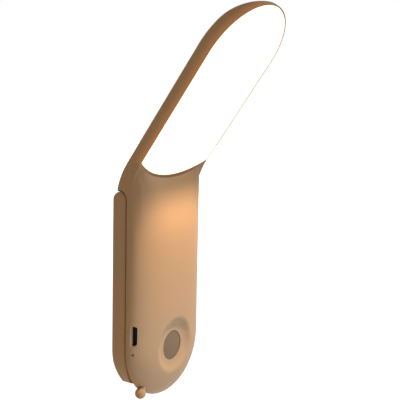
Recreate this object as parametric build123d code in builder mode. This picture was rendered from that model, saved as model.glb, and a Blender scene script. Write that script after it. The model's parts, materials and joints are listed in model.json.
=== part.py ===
from build123d import *
import os
from math import cos, radians, sin, sqrt, tan

# A rechargeable wardrobe light: a bent pill-shaped housing with a glowing panel
# in its leaning head, and a sprung back clip hinged at the top of the body.
# Millimetres. X is across, -Y is the front, +Z is up. The origin is the middle
# of the clip's flat rear face.

# Overall form
half_width = 24.0
clip_thickness = 6.9
hinge_height = 40.2
bottom_centre_z = -22.1
clip_foot_lift = 8.1
wall = 1.6

# Body: a crowned front in front of a flat floor that the clip lies against
floor_gap = 0.7
body_depth = 8.4
rim_straight = 0.6
crown_flat = 4.8
body_top_z = 54.0
cavity_top_z = 34.0

# Head: a slab that leans forward
lean = 36.14
head_thickness = 5.8
arc_centre_y = -44.8
arc_centre_z = 97.2
panel_foot_v = -59.39
panel_foot_radius = 41.3
tip_thickness = 2.0
tip_curve_run = 13.0
neck_front_radius = 34.0
neck_back_radius = 30.0
neck_back_y = -1.4
edge_round = 0.8

# Scoop between the panel and the crowned front
scoop_root_radius = 4.5
scoop_slope = 72.0
scoop_rise = 8.0
scoop_shoulder_radius = 8.0
scoop_exit_slope = 40.0
scoop_edge_round = 2.5
scoop_edge_foot_z = 15.0

# Sensor dish in the front
dish_z = -24.0
dish_radius = 12.3
dish_bottom_y = -13.9
dish_mid_radius = 9.8
dish_mid_y = -14.5
dish_lip = 2.6
dish_flare = 0.3
dish_back_y = -12.6
dish_boss_radius = 13.8
lens_radius = 6.4
lens_gap = 0.1
lens_edge_y = -13.6
lens_middle_y = -14.1
lens_flange_radius = 7.4
lens_flange = 0.5
shroud_wall = 0.8
sensor_radius = 4.1
sensor_front_y = -11.8
sensor_back_y = -9.6
sensor_window = 3.0
sensor_window_depth = 0.2
sensor_clearance = 0.2

# Panel stack in the head
panel_rim = 0.5
diffuser_thickness = 1.2
guide_thickness = 2.0
guide_inset = 2.5
guide_arc_v = -3.0
guide_foot_v = -51.4
guide_gap = 0.2
reflector_thickness = 0.3
stack_gap = 0.1
led_board_v = -52.8
led_board_thickness = 0.8
led_board_side_gap = 5.6
led_board_foot_gap = 1.3
led_count = 8
led_size = 1.6
led_height = 1.0
tray_gap = 0.4

# Hinge and clip
pin_radius = 1.0
pin_running_gap = 0.05
pin_inner_x = 2.6
pin_outer_x = 14.6
pin_bore_end_x = 19.0
lug_centre_x = 11.0
lug_width = 4.0
lug_radius = 2.2
lug_gap = 0.3
lug_sink = 0.4
clip_rear_wall = 1.2
clip_corner = 3.5
clip_edge_round = 0.9
clip_rear_angle = 8.0
clip_rear_taper_z = -24.0
clip_front_angle = 7.0
clip_front_taper_z = -30.2
felt_gap = 0.1
felt_end = 0.6
felt_from_angle = 75.0
felt_to_angle = 135.0
spring_window = 12.8
spring_wire = 0.6
spring_radius = 1.8
spring_turns = 6
spring_pitch = 0.9
spring_leg = 8.5
spring_leg_tilt = 8.0
window_foot_z = 29.5
liner_thickness = 1.4
liner_edge = 1.6
liner_ledge = 1.0
liner_gap = 0.1
liner_top_z = 28.0
pad_width = 24.0
pad_length = 24.0
pad_centre_z = -18.0
pad_thickness = 0.8
pad_proud = 0.1
pad_corner = 3.0
magnet_radius = 7.0
magnet_thickness = 2.5
magnet_places = [14.0, -16.0]
magnet_rib = 1.0

# Rear cover and its screws
cover_thickness = 1.6
cover_edge = 1.2
cover_top_z = 33.0
cover_gap = 0.1
screw_head_radius = 1.6
screw_head_height = 0.8
screw_radius = 0.8
screw_length = 3.6
screw_slot_length = 1.8
screw_slot_width = 0.4
boss_radius = 2.3
screw_inset = 6.0
screw_high_z = 29.0
screw_low_z = -1.5

# Battery
cell_inset = 11.0
cell_thickness = 4.0
cell_foot_z = -3.0
cell_length = 32.0
cell_round = 1.6
foam_thickness = 0.3
guard_board_height = 2.2
guard_board_thickness = 0.8
guard_board_gap = 0.2

# Main board with socket, charge light, sensor and switch
board_front_y = -10.8
board_thickness = 1.0
board_inset = 4.4
board_top_z = -6.5
board_foot_lift = 4.3
socket_z = -15.3
socket_height = 7.8
socket_thickness = 2.5
socket_length = 5.6
socket_inset = 3.9
socket_sink = 1.3
socket_opening_height = 8.3
socket_opening_width = 2.2
socket_opening_bevel = 0.7
socket_seal_edge = 0.8
socket_seal_back_gap = 0.15
socket_bevel = 0.9
socket_shell = 0.3
socket_clearance = 0.25
tongue_height = 3.9
tongue_thickness = 0.7
tongue_setback = 0.8
charge_light_z = -23.1
charge_light_y = -10.55
charge_light_radius = 0.5
charge_light_inset = 2.1
charge_light_length = 2.0
charge_led_gap = 0.7
charge_led_length = 1.6
charge_led_size = 0.7
chip_size = 4.0
chip_height = 1.0
chip_places = [(-6.0, -10.6), (0.5, -10.0), (12.6, -30.6)]
connector_width = 3.6
connector_height = 3.2
connector_depth = 1.6
connector_top_z = -7.4
post_radius = 1.2
post_places = [(-12.0, -12.5), (12.0, -12.5), (9.0, -34.5)]

# Mode button on the lower left of the rim
button_angle = 48.0
button_y = -10.2
button_radius = 1.3
button_head_radius = 2.3
button_proud = 3.9
button_travel = 0.6
button_gap = 0.3
button_side_gap = 0.15
button_seat_gap = 0.25
button_ear_y = -10.6
button_ear_span = 6.8
button_ear_depth = 2.0
button_ear_thickness = 0.8
button_boss_radius = 3.8
button_boss_inset = 6.0
switch_y = -10.9
switch_width = 4.4
switch_thickness = 3.0
switch_depth = 3.0
switch_plunger = 0.9
switch_plunger_radius = 0.9
switch_gap = 0.2

# Leads
lead_radius = 0.4
lead_spacing = 1.2
lead_bend = 1.5
lead_inset = 9.6
lead_y = -11.6
lead_run_z = 32.8
channel_width = 1.6
channel_half_length = 1.5
channel_back_y = -10.2
channel_wall = 0.8
channel_drop = 7.0

# Worked out from the sizes above
hinge_y = -clip_thickness / 2
barrel_radius = clip_thickness / 2
floor_y = -clip_thickness - floor_gap
front_y = floor_y - body_depth
crown_width = half_width - crown_flat
scoop_top_n = head_thickness + body_depth + crown_flat + wall
clip_end_z = bottom_centre_z - half_width + clip_foot_lift
rim_y = floor_y - rim_straight
recess_radius = barrel_radius + floor_gap
cover_front_y = floor_y - cover_thickness
cavity_half = half_width - wall
cavity_front_y = front_y + wall
screw_x = half_width - screw_inset
screw_places = [(x, z) for x in (-screw_x, screw_x) for z in (screw_low_z, screw_high_z)]
screw_places.append((0.0, bottom_centre_z - screw_x))
cell_width = 2 * (half_width - cell_inset)
cell_back_y = cover_front_y - foam_thickness - stack_gap
cell_top_z = cell_foot_z + cell_length
guard_board_foot_z = cell_top_z + guard_board_gap
guide_front_n = -diffuser_thickness - stack_gap
guide_back_n = guide_front_n - guide_thickness
reflector_front_n = guide_back_n - stack_gap
tray_floor_n = reflector_front_n - reflector_thickness - stack_gap
led_board_foot_v = led_board_v - led_board_thickness
foot_centre_v = panel_foot_v + panel_foot_radius
foot_reach = panel_foot_radius - led_board_foot_gap
led_board_half_length = min(
    half_width - led_board_side_gap,
    sqrt(foot_reach**2 - (foot_centre_v - led_board_foot_v) ** 2),
)
tray_foot_v = led_board_foot_v - tray_gap
board_radius = half_width - board_inset
board_foot_z = bottom_centre_z - board_radius + board_foot_lift
socket_y = board_front_y + socket_sink - socket_thickness / 2
socket_mouth_x = socket_inset - half_width
socket_inner_x = socket_mouth_x + socket_length
charge_light_outer_x = charge_light_inset - half_width
charge_light_inner_x = charge_light_outer_x + charge_light_length
lead_side_x = half_width - lead_inset
button_top = half_width + button_proud
button_head = button_top - button_head_radius
button_boss_inner = half_width - button_boss_inset
button_foot = button_boss_inner - button_gap - button_ear_thickness
switch_top = button_foot - button_travel - button_gap
switch_foot = switch_top - switch_plunger - switch_depth
liner_back_y = -clip_thickness + liner_thickness
lean_sin = sin(radians(lean))
lean_cos = cos(radians(lean))
tip_drop = head_thickness - tip_thickness
tip_curve_start = half_width - tip_curve_run
tip_curve_radius = (tip_curve_run**2 + tip_drop**2) / (2 * tip_drop)
board_back_y = board_front_y + board_thickness
slope_sin = sin(radians(scoop_slope))
slope_cos = cos(radians(scoop_slope))
exit_sin = sin(radians(scoop_exit_slope))
exit_cos = cos(radians(scoop_exit_slope))
panel_plane = Plane(
    origin=(0, arc_centre_y, arc_centre_z),
    x_dir=(1, 0, 0),
    z_dir=(0, -lean_cos, -lean_sin),
)
button_out = (-cos(radians(button_angle)), 0, -sin(radians(button_angle)))
dish_plane = Plane(origin=(0, 0, dish_z), x_dir=(1, 0, 0), z_dir=(0, 0, -1))
dish_axis = Axis((0, 0, dish_z), (0, 1, 0))


def side_point(v, n):
    """A point of the side view: v up along the panel, n in front of it."""
    y = arc_centre_y - v * lean_sin - n * lean_cos
    z = arc_centre_z + v * lean_cos - n * lean_sin
    return (y, z)


def panel_line_z(y, n):
    """Height at which the line n in front of the panel reaches depth y."""
    v = (arc_centre_y - n * lean_cos - y) / lean_sin
    return side_point(v, n)[1]


def in_front_of_panel(point):
    """How far a point stands in front of the panel's plane."""
    return -(point.Y - arc_centre_y) * lean_cos - (point.Z - arc_centre_z) * lean_sin


def circles_meet(centre_a, radius_a, centre_b, radius_b):
    """The upper point where two circles of the side view cross."""
    dy = centre_b[0] - centre_a[0]
    dz = centre_b[1] - centre_a[1]
    apart = sqrt(dy**2 + dz**2)
    along = (apart**2 + radius_a**2 - radius_b**2) / (2 * apart)
    off = sqrt(radius_a**2 - along**2)
    points = []
    for turn in (-1, 1):
        y = centre_a[0] + (along * dy - turn * off * dz) / apart
        z = centre_a[1] + (along * dz + turn * off * dy) / apart
        points.append((z, y))
    upper = max(points)
    return (upper[1], upper[0])


def button_plane(distance):
    """Plane square to the button's travel, at a distance from the arc's centre."""
    origin = (
        button_out[0] * distance,
        button_y,
        bottom_centre_z + button_out[2] * distance,
    )
    return Plane(origin=origin, x_dir=(0, 1, 0), z_dir=button_out)


def panel_outline(inset):
    """The panel's outline on its own plane, drawn in by inset."""
    side = half_width - inset
    foot = panel_foot_radius - inset
    corner = foot_centre_v - sqrt(foot**2 - side**2)
    with BuildSketch() as outline:
        with BuildLine():
            Line((-side, 0), (-side, corner))
            ThreePointArc((-side, corner), (0, foot_centre_v - foot), (side, corner))
            Line((side, corner), (side, 0))
            ThreePointArc((side, 0), (0, side), (-side, 0))
        make_face()
    return outline.sketch


def guide_outline(inset, foot_v):
    """The light guide's outline: round at the tip and straight at its foot."""
    side = half_width - guide_inset - inset
    with BuildSketch() as outline:
        with BuildLine():
            Line((-side, guide_arc_v), (-side, foot_v))
            Line((-side, foot_v), (side, foot_v))
            Line((side, foot_v), (side, guide_arc_v))
            ThreePointArc((side, guide_arc_v), (0, guide_arc_v + side), (-side, guide_arc_v))
        make_face()
    return outline.sketch


def half_crown(half, rim, front, back):
    """Half of the body's section, from the middle out to its side."""
    crown_centre = (half - crown_width, rim)
    with BuildSketch() as section:
        with BuildLine():
            Line((0, back), (half, back))
            Line((half, back), (half, rim))
            EllipticalCenterArc(crown_centre, crown_width, rim - front, 270, arc_size=90)
            Line((half - crown_width, front), (0, front))
            Line((0, front), (0, back))
        make_face()
    return section.sketch


def crowned_body(half, rim, front, back, top):
    """Half section carried up on both sides, and turned half a circle round the bottom."""
    with BuildPart() as body:
        with BuildSketch(Plane.XY.offset(bottom_centre_z)):
            add(half_crown(half, rim, front, back))
            mirror(about=Plane.YZ)
        extrude(amount=top - bottom_centre_z)
        with BuildSketch(Plane.XY.offset(bottom_centre_z)):
            add(half_crown(half, rim, front, back))
        revolve(axis=Axis((0, 0, bottom_centre_z), (0, 1, 0)), revolution_arc=180)
    return body.part


def pill_outline(half, top):
    """Flat outline of the body: straight sides and a round bottom."""
    with BuildSketch() as outline:
        with BuildLine():
            Line((-half, bottom_centre_z), (-half, top))
            Line((-half, top), (half, top))
            Line((half, top), (half, bottom_centre_z))
            bottom = (0, bottom_centre_z - half)
            ThreePointArc((half, bottom_centre_z), bottom, (-half, bottom_centre_z))
        make_face()
    return outline.sketch


def clip_outline(inset, top):
    """The clip's outline drawn in by inset: a pill cut off straight at its foot."""
    with BuildSketch() as outline:
        add(pill_outline(half_width - inset, top))
        with Locations((0, clip_end_z + inset - half_width / 2)):
            Rectangle(2 * half_width, half_width, mode=Mode.SUBTRACT)
        fillet(outline.vertices().group_by(Axis.Y)[0], clip_corner - inset)
    return outline.sketch


def front_view(y):
    """Sketch plane at depth y that faces the front: x across, y up."""
    return Plane(origin=(0, y, 0), x_dir=(1, 0, 0), z_dir=(0, -1, 0))


def side_view(x):
    """Sketch plane at x that faces the left: x is depth, y is up."""
    return Plane(origin=(x, 0, 0), x_dir=(0, -1, 0), z_dir=(-1, 0, 0))


def slot_outline(height, width, bevel):
    """Outline round the socket in the side view, bevelled at its two front corners."""
    near = -socket_y - width / 2
    far = -socket_y + width / 2
    low = socket_z - height / 2
    high = socket_z + height / 2
    with BuildSketch() as outline:
        with BuildLine():
            Line((near, low), (near, high))
            Line((near, high), (far - bevel, high))
            Line((far - bevel, high), (far, high - bevel))
            Line((far, high - bevel), (far, low + bevel))
            Line((far, low + bevel), (far - bevel, low))
            Line((far - bevel, low), (near, low))
        make_face()
    return outline.sketch


def socket_outline(grow):
    """The socket's outline, grown all round."""
    return slot_outline(socket_height + 2 * grow, socket_thickness + 2 * grow, socket_bevel)


def foot_wedges():
    """The two wedges that taper the clip's foot, behind it and in front of it."""
    drop = bottom_centre_z - half_width - clip_thickness
    rear_run = (clip_rear_taper_z - drop) * tan(radians(clip_rear_angle))
    front_run = (clip_front_taper_z - drop) * tan(radians(clip_front_angle))
    with BuildPart() as wedges:
        with BuildSketch(Plane.YZ):
            with BuildLine():
                Polyline((0, clip_rear_taper_z), (-rear_run, drop), (0, drop), close=True)
            make_face()
            with BuildLine():
                front = -clip_thickness
                edge = front + front_run
                Polyline((front, clip_front_taper_z), (edge, drop), (front, drop), close=True)
            make_face()
        extrude(amount=2 * half_width, both=True)
    return wedges.part


def led_places():
    """Middles of the light sources along their board."""
    step = 2 * led_board_half_length / led_count
    return [-led_board_half_length + step * (k + 0.5) for k in range(led_count)]


def channel_points():
    """Middle line of the lead channel in the side view, from the head to the body."""
    turn = radians(scoop_slope - lean)
    reach = recess_radius + channel_width / 2 + channel_wall
    middle_n = (guide_front_n + tray_floor_n) / 2
    return [
        side_point(led_board_foot_v, middle_n),
        side_point(tray_foot_v - channel_drop, -head_thickness / 2),
        (hinge_y - reach * cos(turn), hinge_height + reach * sin(turn)),
        (channel_back_y, hinge_height - barrel_radius / 2),
        (channel_back_y, cavity_top_z),
    ]


def lead(points):
    """A round lead along a bent line."""
    with BuildPart() as wire:
        with BuildLine() as path:
            FilletPolyline(*points, radius=lead_bend)
        with BuildSketch(path.line ^ 0):
            Circle(lead_radius)
        sweep()
    return wire.part


def torsion_spring():
    """Coil about Z with straight legs: the first leg down at +X, the other at -X."""
    turns = spring_turns + 0.5 - spring_leg_tilt / 360
    with BuildPart() as coil:
        with BuildLine() as path:
            winding = Helix(pitch=spring_pitch, height=turns * spring_pitch, radius=spring_radius)
            Line(winding @ 0 - (winding % 0) * spring_leg, winding @ 0)
            Line(winding @ 1, winding @ 1 + (winding % 1) * spring_leg)
        with BuildSketch(path.line ^ 0):
            Circle(spring_wire / 2)
        sweep()
    return coil.part


def from_dish_axis(point):
    """Distance of a point from the dish's axis."""
    return sqrt(point.X**2 + (point.Z - dish_z) ** 2)


def finish(piece, name):
    """Name a piece and write it out."""
    piece.part.label = name
    export_step(piece.part, "parts/" + name + ".step")


os.makedirs("parts", exist_ok=True)

# Housing: leaning head, neck and crowned body in one moulding
neck_front_run = neck_front_radius * tan(radians(lean / 2))
neck_corner_z = panel_line_z(rim_y, 0)
neck_back_run = neck_back_radius * tan(radians(lean / 2))
back_corner_z = panel_line_z(neck_back_y, -head_thickness)
back_bend_centre = (neck_back_y - neck_back_radius, back_corner_z - neck_back_run)
lip = circles_meet((hinge_y, hinge_height), recess_radius, back_bend_centre, neck_back_radius)

with BuildPart() as housing_shell:
    with BuildSketch(Plane.YZ):
        with BuildLine():
            tip_front = side_point(half_width, 0)
            tip_back = side_point(half_width, -tip_thickness)
            tip_middle_n = -head_thickness + tip_curve_radius
            tip_middle_n -= sqrt(tip_curve_radius**2 - (tip_curve_run / 2) ** 2)
            tip_middle = side_point(tip_curve_start + tip_curve_run / 2, tip_middle_n)
            back_start = side_point(tip_curve_start, -head_thickness)
            front_bend = (
                rim_y - neck_front_run * lean_sin,
                neck_corner_z + neck_front_run * lean_cos,
            )
            back_bend = (
                neck_back_y - neck_back_run * lean_sin,
                back_corner_z + neck_back_run * lean_cos,
            )
            neck_foot = (rim_y, neck_corner_z - neck_front_run)
            recess_foot = (floor_y, neck_foot[1])
            recess_side = (floor_y, hinge_height)
            recess_top = (hinge_y, hinge_height + recess_radius)
            Line(tip_front, front_bend)
            TangentArc(front_bend, neck_foot, tangent=(lean_sin, -lean_cos))
            Line(neck_foot, recess_foot)
            Line(recess_foot, recess_side)
            RadiusArc(recess_side, recess_top, recess_radius)
            RadiusArc(recess_top, lip, recess_radius)
            TangentArc(back_bend, lip, tangent=(lean_sin, -lean_cos))
            Line(back_bend, back_start)
            ThreePointArc(back_start, tip_middle, tip_back)
            Line(tip_back, tip_front)
        make_face()
    extrude(amount=half_width, both=True)
    with BuildSketch(panel_plane):
        with Locations((0, half_width)):
            Rectangle(3 * half_width, 2 * half_width)
        Circle(half_width, mode=Mode.SUBTRACT)
    extrude(amount=2 * head_thickness, both=True, mode=Mode.SUBTRACT)
    back_edges = housing_shell.edges().filter_by(
        lambda edge: in_front_of_panel(edge.center()) < -head_thickness / 4
        and abs(edge.center().X) > 1
    )
    back_edges += housing_shell.edges().filter_by(
        lambda edge: edge.center().Z > tip_back[1] - 1
        and in_front_of_panel(edge.center()) < -tip_thickness / 2
        and abs(edge.center().X) <= 1
    )
    fillet(back_edges, edge_round)
    add(crowned_body(half_width, rim_y, front_y, floor_y, body_top_z))
    with BuildSketch(Plane.YZ):
        with BuildLine():
            axis_low = side_point(foot_centre_v, 0)
            axis_high = side_point(foot_centre_v, scoop_top_n)
            v = foot_centre_v - panel_foot_radius
            root = side_point(v, 0)
            v -= scoop_root_radius * slope_sin
            n = scoop_root_radius * (1 - slope_cos)
            root_end = side_point(v, n)
            v -= scoop_rise * slope_cos
            n += scoop_rise * slope_sin
            shoulder_start = side_point(v, n)
            v -= scoop_shoulder_radius * (slope_sin - exit_sin)
            n += scoop_shoulder_radius * (exit_cos - slope_cos)
            shoulder_end = side_point(v, n)
            flare = side_point(v - (scoop_top_n - n) * exit_cos / exit_sin, scoop_top_n)
            Line(axis_low, root)
            TangentArc(root, root_end, tangent=(lean_sin, -lean_cos))
            Line(root_end, shoulder_start)
            RadiusArc(shoulder_start, shoulder_end, scoop_shoulder_radius)
            Line(shoulder_end, flare)
            Line(flare, axis_high)
            Line(axis_high, axis_low)
        make_face()
    revolve(axis=Axis((0, *axis_low), (0, -lean_cos, -lean_sin)), mode=Mode.SUBTRACT)
    shoulder = housing_shell.edges().filter_by(
        lambda edge: edge_round < in_front_of_panel(edge.center()) < scoop_top_n
        and scoop_edge_foot_z < edge.center().Z < body_top_z
        and edge.center().Y < sensor_front_y
        and edge.geom_type not in (GeomType.LINE, GeomType.CIRCLE)
    )
    fillet(shoulder, scoop_edge_round)

    # Cavity, open at the back behind a ledge for the rear cover
    with BuildPart(mode=Mode.PRIVATE) as cavity:
        add(crowned_body(cavity_half, rim_y, cavity_front_y, floor_y, cavity_top_z))
        split(bisect_by=Plane(origin=(0, cover_front_y, 0), z_dir=(0, -1, 0)))
    add(cavity.part, mode=Mode.SUBTRACT)
    with BuildSketch(front_view(floor_y)):
        add(pill_outline(half_width - cover_edge, cover_top_z + cover_gap))
    extrude(amount=cover_thickness, mode=Mode.SUBTRACT)

    # Bosses for the cover screws
    with BuildSketch(front_view(cover_front_y)):
        with Locations(*screw_places):
            Circle(boss_radius)
    extrude(amount=screw_length - screw_head_height)
    with BuildSketch(front_view(cover_front_y)):
        with Locations(*screw_places):
            Circle(screw_radius)
    extrude(amount=screw_length - screw_head_height, mode=Mode.SUBTRACT)

    # Dish for the sensor, with a boss behind it
    with BuildSketch(front_view(dish_back_y)):
        with Locations((0, dish_z)):
            Circle(dish_boss_radius)
    extrude(amount=dish_back_y - dish_mid_y)
    with BuildSketch(dish_plane):
        with BuildLine():
            Line((0, -dish_bottom_y), (lens_radius, -dish_bottom_y))
            bend = (dish_mid_radius, -dish_mid_y)
            edge = (dish_radius, -front_y + dish_flare)
            ThreePointArc((lens_radius, -dish_bottom_y), bend, edge)
            Line(edge, (dish_radius, -front_y + wall))
            Line((dish_radius, -front_y + wall), (0, -front_y + wall))
            Line((0, -front_y + wall), (0, -dish_bottom_y))
        make_face()
    revolve(axis=dish_axis, mode=Mode.SUBTRACT)
    lip_edges = housing_shell.edges().filter_by(
        lambda edge: edge.center().Y < dish_mid_y
        and all(
            dish_mid_radius < from_dish_axis(edge @ t) < dish_radius + 0.1 for t in (0, 0.5, 1)
        )
    )
    fillet(lip_edges, dish_lip)
    with BuildSketch(front_view(dish_back_y)):
        with Locations((0, dish_z)):
            Circle(lens_radius)
    extrude(amount=wall, mode=Mode.SUBTRACT)

    # Seat and opening for the charging socket, and the charge light's hole below it
    with BuildSketch(side_view(socket_inner_x + socket_clearance)):
        add(socket_outline(socket_clearance))
    extrude(amount=socket_length + 2 * socket_clearance, mode=Mode.SUBTRACT)
    with BuildSketch(side_view(socket_mouth_x)):
        add(slot_outline(socket_opening_height, socket_opening_width, socket_opening_bevel))
    extrude(amount=half_width, mode=Mode.SUBTRACT)
    with BuildSketch(side_view(charge_light_inner_x + wall)):
        with Locations((-charge_light_y, charge_light_z)):
            Circle(charge_light_radius)
    extrude(amount=half_width, mode=Mode.SUBTRACT)

    # Guide hole for the mode button, with a boss that stops its ears
    with BuildPart(mode=Mode.PRIVATE) as button_boss:
        with BuildSketch(button_plane(button_boss_inner)):
            Circle(button_boss_radius)
        extrude(amount=half_width - button_boss_inner)
        split(bisect_by=Plane(origin=(0, cover_front_y - cover_gap, 0), z_dir=(0, -1, 0)))
        skin = wall / 2
        add(
            crowned_body(half_width - skin, rim_y, front_y + skin, floor_y, 0),
            mode=Mode.INTERSECT,
        )
    add(button_boss.part)
    with BuildSketch(button_plane(switch_top)):
        Circle(button_radius + button_side_gap)
    extrude(amount=half_width, mode=Mode.SUBTRACT)
    with Locations(button_plane(button_head - button_travel)):
        Sphere(button_head_radius + button_seat_gap, mode=Mode.SUBTRACT)

    # Stepped tray in the head for the panel, light guide and lights
    with BuildSketch(panel_plane):
        add(panel_outline(panel_rim))
    extrude(amount=-diffuser_thickness, mode=Mode.SUBTRACT)
    with BuildSketch(panel_plane.offset(-diffuser_thickness)):
        add(guide_outline(-guide_gap, guide_foot_v - guide_gap))
        tray_middle_v = (guide_foot_v + tray_foot_v) / 2
        with Locations((0, tray_middle_v)):
            Rectangle(2 * (led_board_half_length + tray_gap), guide_foot_v - tray_foot_v)
    extrude(amount=tray_floor_n + diffuser_thickness, mode=Mode.SUBTRACT)

    # Channel for the leads from the tray down into the body
    with BuildSketch(Plane.YZ):
        with BuildLine():
            Polyline(*channel_points())
        trace(line_width=channel_width)
    extrude(amount=channel_half_length, both=True, mode=Mode.SUBTRACT)

    # Hinge lugs behind the neck
    for side in (-1, 1):
        with BuildSketch(Plane.YZ.offset(side * lug_centre_x - lug_width / 2)):
            with Locations((hinge_y, hinge_height)):
                Circle(lug_radius)
            web = hinge_y - floor_y + lug_sink
            with Locations((hinge_y - web / 2, hinge_height)):
                Rectangle(web, 2 * lug_radius)
            with Locations((hinge_y, hinge_height)):
                Circle(pin_radius + pin_running_gap, mode=Mode.SUBTRACT)
        extrude(amount=lug_width)
finish(housing_shell, "housing_shell")

# Felt strip in the recess that closes the gap over the clip's barrel
with BuildPart() as hinge_felt:
    with BuildSketch(Plane.YZ):
        with Locations((hinge_y, hinge_height)):
            Circle(recess_radius - stack_gap / 2)
            Circle(barrel_radius + felt_gap, mode=Mode.SUBTRACT)
        with BuildLine():
            reach = 2 * recess_radius
            rays = [
                (hinge_y + reach * cos(radians(a)), hinge_height + reach * sin(radians(a)))
                for a in (felt_from_angle, felt_to_angle)
            ]
            Polyline((hinge_y, hinge_height), *rays, close=True)
        make_face(mode=Mode.INTERSECT)
    extrude(amount=half_width - felt_end, both=True)
finish(hinge_felt, "hinge_felt")

# Cover that closes the back of the body, with posts that hold the board
with BuildPart() as rear_cover:
    with BuildSketch(front_view(floor_y)):
        add(pill_outline(half_width - cover_edge - cover_gap, cover_top_z))
        with Locations(*screw_places):
            Circle(screw_radius + cover_gap, mode=Mode.SUBTRACT)
    extrude(amount=cover_thickness)
    with BuildSketch(front_view(floor_y)):
        with Locations(*screw_places):
            Circle(screw_head_radius + cover_gap)
    extrude(amount=screw_head_height, mode=Mode.SUBTRACT)
    with BuildSketch(front_view(cover_front_y)):
        with Locations(*post_places):
            Circle(post_radius)
    extrude(amount=cover_front_y - board_back_y)
    with BuildSketch(button_plane(switch_top)):
        Circle(button_radius + button_gap)
    extrude(amount=half_width, mode=Mode.SUBTRACT)
finish(rear_cover, "rear_cover")

# Screws through the cover into the bosses
with BuildPart() as cover_screws:
    with BuildSketch(front_view(floor_y)):
        with Locations(*screw_places):
            Circle(screw_head_radius)
    extrude(amount=screw_head_height)
    with BuildSketch(front_view(floor_y)):
        with Locations(*screw_places):
            Circle(screw_radius)
    extrude(amount=screw_length)
    with BuildSketch(front_view(floor_y)):
        with Locations(*screw_places):
            Rectangle(screw_slot_length, screw_slot_width)
            Rectangle(screw_slot_width, screw_slot_length)
    extrude(amount=screw_head_height / 2, mode=Mode.SUBTRACT)
finish(cover_screws, "cover_screws")

# Glowing panel
with BuildPart() as panel_diffuser:
    with BuildSketch(panel_plane):
        add(panel_outline(panel_rim + stack_gap / 2))
    extrude(amount=-diffuser_thickness)
finish(panel_diffuser, "panel_diffuser")

# Clear plate that spreads the light behind the panel
with BuildPart() as light_guide:
    with BuildSketch(panel_plane.offset(guide_front_n)):
        add(guide_outline(0, guide_foot_v))
    extrude(amount=-guide_thickness)
finish(light_guide, "light_guide")

# White sheet behind the light guide
with BuildPart() as reflector_sheet:
    with BuildSketch(panel_plane.offset(reflector_front_n)):
        add(guide_outline(0, guide_foot_v))
    extrude(amount=-reflector_thickness)
finish(reflector_sheet, "reflector_sheet")

# Narrow board across the foot of the tray
with BuildPart() as led_board:
    with BuildSketch(panel_plane.offset(guide_front_n)):
        with Locations((0, led_board_v - led_board_thickness / 2)):
            Rectangle(2 * led_board_half_length, led_board_thickness)
    extrude(amount=tray_floor_n - guide_front_n + stack_gap)
finish(led_board, "led_board")

# Light sources that shine up into the guide's foot
with BuildPart() as leds:
    with BuildSketch(panel_plane.offset((guide_front_n + guide_back_n + led_size) / 2)):
        for place in led_places():
            with Locations((place, led_board_v + led_height / 2)):
                Rectangle(2 * led_size, led_height)
    extrude(amount=-led_size)
finish(leds, "leds")

# Flat rechargeable cell
with BuildPart() as battery_cell:
    with BuildSketch(Plane.XY.offset(cell_foot_z)):
        with Locations((0, cell_back_y - cell_thickness / 2)):
            RectangleRounded(cell_width, cell_thickness, cell_round)
    extrude(amount=cell_length)
finish(battery_cell, "battery_cell")

# Foam between the cell and the cover
with BuildPart() as battery_foam:
    with BuildSketch(front_view(cover_front_y)):
        with Locations((0, cell_foot_z + cell_length / 2)):
            Rectangle(cell_width * 0.7, cell_length * 0.8)
    extrude(amount=foam_thickness)
finish(battery_foam, "battery_foam")

# Small board on top of the cell
with BuildPart() as battery_guard_board:
    with BuildSketch(front_view(lead_y + guard_board_thickness / 2)):
        with Locations((0, guard_board_foot_z + guard_board_height / 2)):
            Rectangle(cell_width - 2, guard_board_height)
    extrude(amount=guard_board_thickness)
finish(battery_guard_board, "battery_guard_board")

# Main board, notched for the button and cut through for the sensor
with BuildPart() as main_board:
    with BuildSketch(front_view(board_back_y)):
        add(pill_outline(board_radius, board_top_z))
        low = bottom_centre_z - board_radius
        with Locations((0, (board_foot_z + low) / 2)):
            Rectangle(2 * board_radius, board_foot_z - low, mode=Mode.SUBTRACT)
        with Locations((0, dish_z)):
            Circle(sensor_radius + sensor_clearance, mode=Mode.SUBTRACT)
        with Locations((socket_mouth_x, socket_z)):
            Rectangle(
                2 * (socket_length + socket_clearance),
                socket_height + 2 * socket_clearance,
                mode=Mode.SUBTRACT,
            )
    extrude(amount=board_thickness)
    with BuildSketch(button_plane(switch_foot - switch_gap)):
        Rectangle(2 * switch_thickness, switch_width + 2 * switch_gap)
    extrude(amount=half_width, mode=Mode.SUBTRACT)
    with BuildSketch(button_plane(switch_top)):
        Circle(button_boss_radius + switch_gap)
    extrude(amount=half_width, mode=Mode.SUBTRACT)
finish(main_board, "main_board")

# Shell of the charging socket, sunk into the notch in the board's edge
with BuildPart() as usb_socket:
    with BuildSketch(side_view(socket_inner_x)):
        add(socket_outline(0))
    extrude(amount=socket_length)
    with BuildSketch(side_view(socket_inner_x - socket_shell)):
        add(socket_outline(-socket_shell))
    extrude(amount=socket_length, mode=Mode.SUBTRACT)
finish(usb_socket, "usb_socket")

# Contact tongue inside the socket
with BuildPart() as usb_tongue:
    with BuildSketch(side_view(socket_inner_x - socket_shell)):
        with Locations((-socket_y, socket_z)):
            Rectangle(tongue_thickness, tongue_height)
    extrude(amount=socket_length - socket_shell - tongue_setback)
finish(usb_tongue, "usb_tongue")

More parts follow.
